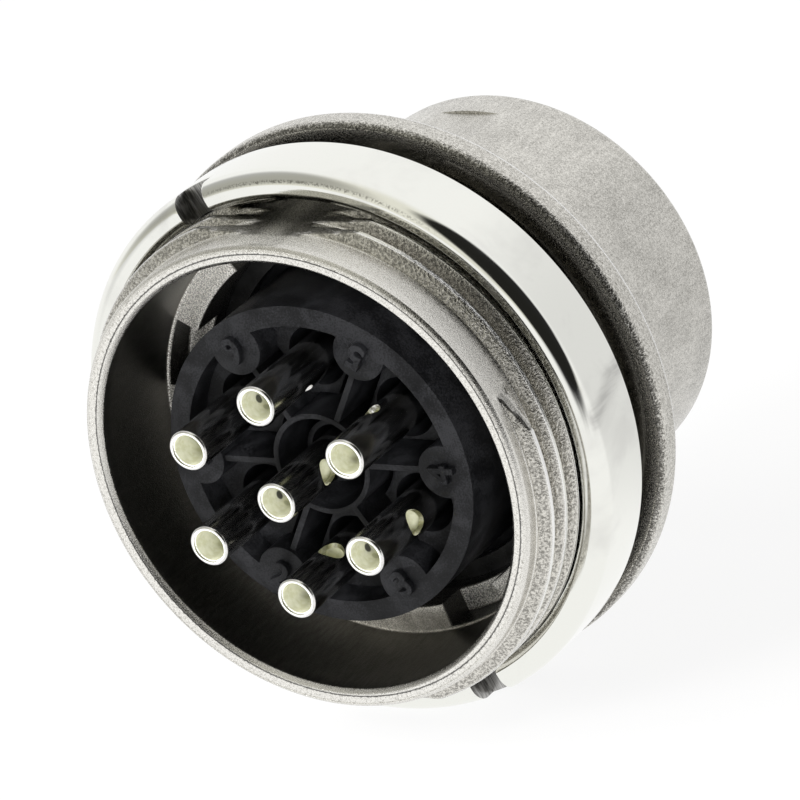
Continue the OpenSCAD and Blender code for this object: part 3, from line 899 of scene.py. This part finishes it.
def makeContact(index):
    size = contactSize
    node = "contact_middle" if index == 0 else f"contact_{index}"
    clock = math.radians(360.0 - 60.0 * index)
    reach = 0.0 if index == 0 else size["circleRadius"]
    centre = (reach * math.sin(clock), reach * math.cos(clock))
    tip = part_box(node)[1].y / mm
    cup, bore, lip, mouth = size["cup"], size["bore"], size["lip"], size["mouth"]
    collar, collarStart, collarEnd = size["collar"]
    root, rootEnd = size["root"]
    pin = size["pin"]
    stepWidth, stepDepth = size["innerStep"]
    rows = [
        (0.001, mouth + size["depth"]),
        (bore - 0.05, mouth + size["depth"]),
        (bore, mouth + size["depth"] - 0.05),
        (bore, mouth + 3.0),
        (bore, mouth + 1.5),
        (bore, mouth + stepDepth + 0.02),
        (bore + 0.015, mouth + stepDepth),
        (bore + stepWidth, mouth + stepDepth - 0.01),
        (bore + stepWidth + 0.01, mouth + 0.02),
        (bore + stepWidth + 0.03, mouth),
        (cup - lip, mouth),
    ]
    rows += arc(cup - lip, mouth + lip, lip, -80.0, 0.0, 4)
    rows += [(cup, level) for level in (mouth + 1.5, mouth + 3.0, mouth + 4.5, -7.0, size["shankStart"])]
    rows += [
        (size["shank"], size["shankStart"] + 0.1),
        (size["shank"], collarStart),
        (collar - 0.08, collarStart),
        (collar, collarStart + 0.08),
        (collar, collarEnd - 0.08),
        (collar - 0.08, collarEnd),
        (root, collarEnd),
        (root, rootEnd - 0.08),
        (root - 0.08, rootEnd),
        (pin, rootEnd),
    ]
    rows += [(pin, level) for level in np.linspace(rootEnd, tip - pin, 4)[1:]]
    rows += arc(0.0, tip - pin, pin, 8.0, 89.9, 9)
    points, faces = weave(rows, fullTurn(size["columns"]))
    ring = size["columns"]
    inside = materials["paintedReflection" if index in size["paintedReflection"] else "bore"]
    others = [(inside, 0, size["boreRows"] * ring)]
    others += [(materials["cut"], row * ring, (row + 1) * ring) for row in size["cutRows"]]
    name = node.replace("contact", "solder_contact")
    piece = meshPiece(name, points, faces, materials["silver"], others)
    piece.location = (centre[0] * mm, 0.0, centre[1] * mm)
    work = bmesh.new()
    bmesh.ops.create_cone(work, cap_ends=True, segments=48, radius1=size["peepRadius"] * mm,
                          radius2=size["peepRadius"] * mm, depth=2.0 * mm)
    aim = math.radians(size["peepClocks"][index])
    direction = Vector((math.sin(aim), 0.0, math.cos(aim)))
    spot = Vector((centre[0], mouth + size["peepBelowMouth"], centre[1])) * mm + direction * 1.1 * mm
    work.transform(Matrix.Translation(spot) @ direction.to_track_quat("Z", "Y").to_matrix().to_4x4())
    mesh = bpy.data.meshes.new("peep")
    work.to_mesh(mesh)
    work.free()
    cutter = bpy.data.objects.new("peep", mesh)
    bpy.context.scene.collection.objects.link(cutter)
    carve(piece, [cutter])
    settle(smoothed(piece), "connector", "silver_plate", node)


carrierSize = {
    "edge": 0.05,
    "bossCircle": 7.85,
    # Clock angle of the boss that carries each number
    "digitClocks": {1: 270, 2: 210, 3: 150, 4: 90, 5: 30, 6: 330},
    "digitHeight": 1.48,
    "digitShare": 0.73,  # of the font's size that a figure's height takes up
    "digitProud": 0.42,
    "digitSunk": 0.06,
    "digitStroke": 0.045,  # added all round to the plain figure
    "digitEdge": 0.04,
}


def makeDigit(number, clock):
    # A raised figure whose top points to the axis
    size = carrierSize
    curve = bpy.data.curves.new("digit", "FONT")
    curve.body = str(number)
    curve.size = size["digitHeight"] / size["digitShare"] * mm
    curve.offset = size["digitStroke"] * mm
    curve.extrude = ((size["digitProud"] + size["digitSunk"]) / 2 - size["digitEdge"]) * mm
    curve.bevel_depth = size["digitEdge"] * mm
    curve.bevel_resolution = 2
    text = bpy.data.objects.new("digit", curve)
    bpy.context.scene.collection.objects.link(text)
    bpy.context.view_layer.update()
    mesh = bpy.data.meshes.new_from_object(text.evaluated_get(bpy.context.evaluated_depsgraph_get()))
    bpy.data.objects.remove(text)
    bpy.data.curves.remove(curve)
    corners = np.array([vert.co for vert in mesh.vertices])
    middle = Vector((corners.min(0) + corners.max(0)) / 2)
    aim = math.radians(clock)
    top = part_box("contact_carrier")[0].y + (size["digitSunk"] - size["digitProud"]) / 2 * mm
    spot = Vector((size["bossCircle"] * mm * math.sin(aim), top, size["bossCircle"] * mm * math.cos(aim)))
    upright = Matrix.Rotation(math.pi / 2, 4, "X")
    mesh.transform(Matrix.Translation(spot) @ Matrix.Rotation(aim + math.pi, 4, "Y") @ upright
                   @ Matrix.Translation(-middle))
    cleanMesh(mesh)
    mesh.materials.clear()
    mesh.materials.append(materials["moulding"])
    digit = bpy.data.objects.new(f"number_{number}", mesh)
    bpy.context.scene.collection.objects.link(digit)
    settle(smoothed(digit, 40.0), "connector", "black_moulding")


def makeCarrier():
    # The CAD solid's own mesh, welded, with its edges softened
    mesh = nodes["contact_carrier"].data.copy()
    mesh.materials.clear()
    mesh.materials.append(materials["moulding"])
    work = bmesh.new()
    work.from_mesh(mesh)
    bmesh.ops.remove_doubles(work, verts=work.verts, dist=0.001 * mm)
    bmesh.ops.dissolve_limit(work, angle_limit=math.radians(0.5), verts=work.verts, edges=work.edges)
    work.to_mesh(mesh)
    work.free()
    carrier = bpy.data.objects.new("moulded_carrier", mesh)
    bpy.context.scene.collection.objects.link(carrier)
    softenEdges(carrier, carrierSize["edge"], 2, 40.0)
    settle(smoothed(carrier), "connector", "black_moulding", "contact_carrier")
    for number, clock in carrierSize["digitClocks"].items():
        makeDigit(number, clock)
    print("carrier made:", len(carrier.data.polygons), "faces")


makeHousing()
makeNut()
for index in range(len(contactSize["peepClocks"])):
    makeContact(index)
print("contacts made")
makeCarrier()

finishes = {"pin_insulator": "moulding", "insert_seal": "rubber", "snap_ring": "steel"}
for name, node in nodes.items():
    finish = "bronze" if name.startswith("clip") else finishes.get(name)
    if finish:
        for materialSlot in node.material_slots:
            materialSlot.material = materials[finish]
print("plain solids finished")

cameraSize = {
    "tilt": 40.035,  # between the plug's axis and the line of sight
    "lean": 40.864,  # of the axis in the picture, from its left down to the bottom
    "roll": 53.77,  # clock angle that points along the lean
    "rim": (-5.302, -4.374, -320.0),  # the rim's centre as the camera sees it, in mm
    "lens": 265.37,
    "sensor": 36.0,
}


def makeCamera():
    size = cameraSize
    tilt, lean, roll = [math.radians(size[key]) for key in ("tilt", "lean", "roll")]
    away = Vector((math.cos(lean) * math.cos(tilt), math.sin(lean) * math.cos(tilt), math.sin(tilt)))
    side = Vector((math.sin(lean), -math.cos(lean), 0.0))
    xAxis = math.sin(roll) * away + math.cos(roll) * side
    zAxis = math.cos(roll) * away - math.sin(roll) * side
    yAxis = zAxis.cross(xAxis)
    turned = Matrix((xAxis, yAxis, zAxis))  # rows: the frame's axes in camera directions
    rimPlace = Vector((0.0, rimLevel, 0.0))
    shift = Vector(size["rim"]) - turned.transposed() @ rimPlace
    camera = bpy.data.objects.new("camera", bpy.data.cameras.new("camera"))
    camera.data.lens = size["lens"]
    camera.data.sensor_width = size["sensor"]
    camera.data.clip_start = 0.01
    camera.data.clip_end = 10.0
    camera.matrix_world = Matrix.Translation(-(turned @ shift) * mm) @ turned.to_4x4()
    bpy.context.scene.collection.objects.link(camera)
    bpy.context.scene.camera = camera
    return camera


camera = makeCamera()
print("camera at", [round(value, 4) for value in camera.matrix_world.translation])

stageSize = {
    "floorLevel": -16.62,  # mm, just under the flange
    "floorReach": 1.2,  # metres
    "shadowShare": 0.15,  # how much of the floor's look is lit by the lamps
    "darkAim": 60.0,  # from the wire side's axis to the dark opening's middle
    "darkReach": (0.84, 0.64),  # half sizes of the opening, as sines: away from the axis and across
    "darkFade": (0.84, 1.02),
    "darkLevel": 0.02,
    # Direction of each grey wall, the cosines where it starts and is full, and how dark it gets
    "greyWalls": (((0.63, 0.77, 0.0), 0.70, 1.0, 0.20), ((-0.72, -0.42, 0.55), 0.72, 0.92, 0.50)),
    "fill": 0.6,  # the room's strength for diffuse rays
    "frontTint": (0.84, 0.83, 0.75, 1.0),  # the room's colour towards the wire side
    "frontFade": (-0.25, 0.55),
}


def roomLevel(sheet, ray):
    # How bright the room is in a direction: white, but for a dark opening beside the wire side
    size = stageSize
    along, aim = math.radians(cameraSize["roll"]), math.radians(size["darkAim"])
    outwards = Vector((math.sin(along), 0.0, math.cos(along)))
    front = Vector((0.0, -1.0, 0.0))
    middle = front * math.cos(aim) + outwards * math.sin(aim)
    axes = (outwards * math.cos(aim) - front * math.sin(aim), outwards.cross(front), middle, front)
    parts = [sheet.node("ShaderNodeVectorMath", {"operation": "DOT_PRODUCT"}, {0: ray, 1: axis}, "Value")
             for axis in axes]
    long, wide = [part / reach for part, reach in zip(parts, size["darkReach"])]
    ripple = sheet.noise(7.0, 3.0, 0.6, ray)
    away = (long * long + wide * wide) ** 0.5 + (ripple - 0.5) * 0.10
    dark = (1 - sheet.spread(away, *size["darkFade"])) * sheet.spread(parts[2], 0.0, 0.2)
    level = 1 - dark * (1 - size["darkLevel"])
    for wall, start, end, depth in size["greyWalls"]:
        towards = sheet.node("ShaderNodeVectorMath", {"operation": "DOT_PRODUCT"}, {0: ray, 1: wall}, "Value")
        level = level * (1 - depth * sheet.spread(towards, start, end))
    return parts[3], level


def makeFloor():
    size = stageSize
    sheet = newSheet("pale floor")
    rays = sheet.tree.nodes.new("ShaderNodeLightPath")
    glossy = Signal(sheet, rays.outputs["Is Glossy Ray"])
    seen = Signal(sheet, rays.outputs["Is Camera Ray"]) + glossy
    seen = seen + Signal(sheet, rays.outputs["Is Transmission Ray"])
    spot = sheet.node("ShaderNodeVectorMath", {"operation": "NORMALIZE"}, {0: sheet.place()})
    _, level = roomLevel(sheet, spot)
    lit = sheet.node("ShaderNodeBsdfDiffuse", None, {"Color": grey(0.9)})
    white = sheet.node("ShaderNodeEmission", None, {"Color": grey(1.0), "Strength": 1 - glossy * (1 - level)})
    share = sheet.math("MINIMUM", seen, 1.0) * (1 - size["shadowShare"] * (1 - glossy))
    mixed = sheet.node("ShaderNodeMixShader", None, {0: share, 1: lit, 2: white})
    sheet.node("ShaderNodeOutputMaterial", None, {"Surface": mixed})
    reach, level = size["floorReach"], size["floorLevel"] * mm
    mesh = bpy.data.meshes.new("floor")
    corners = [(-reach, -reach, level), (reach, -reach, level), (reach, reach, level), (-reach, reach, level)]
    mesh.from_pydata(corners, [], [(0, 1, 2, 3)])
    mesh.materials.append(sheet.owner)
    floor = bpy.data.objects.new("floor", mesh)
    bpy.context.scene.collection.objects.link(floor)


def makeWorld():
    size = stageSize
    world = bpy.data.worlds.new("studio")
    bpy.context.scene.world = world
    sheet = Sheet(world)
    facing, level = roomLevel(sheet, sheet.node("ShaderNodeTexCoord", output="Generated"))
    rays = sheet.tree.nodes.new("ShaderNodeLightPath")
    diffuse = Signal(sheet, rays.outputs["Is Diffuse Ray"])
    colour = sheet.blendColours(sheet.spread(facing, *size["frontFade"]), grey(1.0), size["frontTint"])
    background = sheet.node("ShaderNodeBackground", None, {
        "Color": colour, "Strength": level * (1 - diffuse * (1 - size["fill"]))})
    sheet.node("ShaderNodeOutputWorld", None, {"Surface": background})


lampSize = {
    # Place in metres, size in metres, power in watts
    "key": ((-0.55, -0.35, 0.75), 0.5, 5.0),
    "side": ((0.52, -0.62, 0.14), 0.3, 8.5),
    "front": ((-0.30, -0.60, 0.42), 0.3, 5.5),
}


def makeLamps():
    for name, (place, size, power) in lampSize.items():
        light = bpy.data.lights.new(name, "AREA")
        light.energy = power
        light.size = size
        lamp = bpy.data.objects.new(name, light)
        lamp.visible_glossy = False  # the metal shows the room alone
        lamp.location = place
        lamp.rotation_euler = (-Vector(place)).to_track_quat("-Z", "Y").to_euler()
        bpy.context.scene.collection.objects.link(lamp)


makeFloor()
makeWorld()
makeLamps()
bpy.context.scene.view_settings.view_transform = "Standard"
print("stage set")
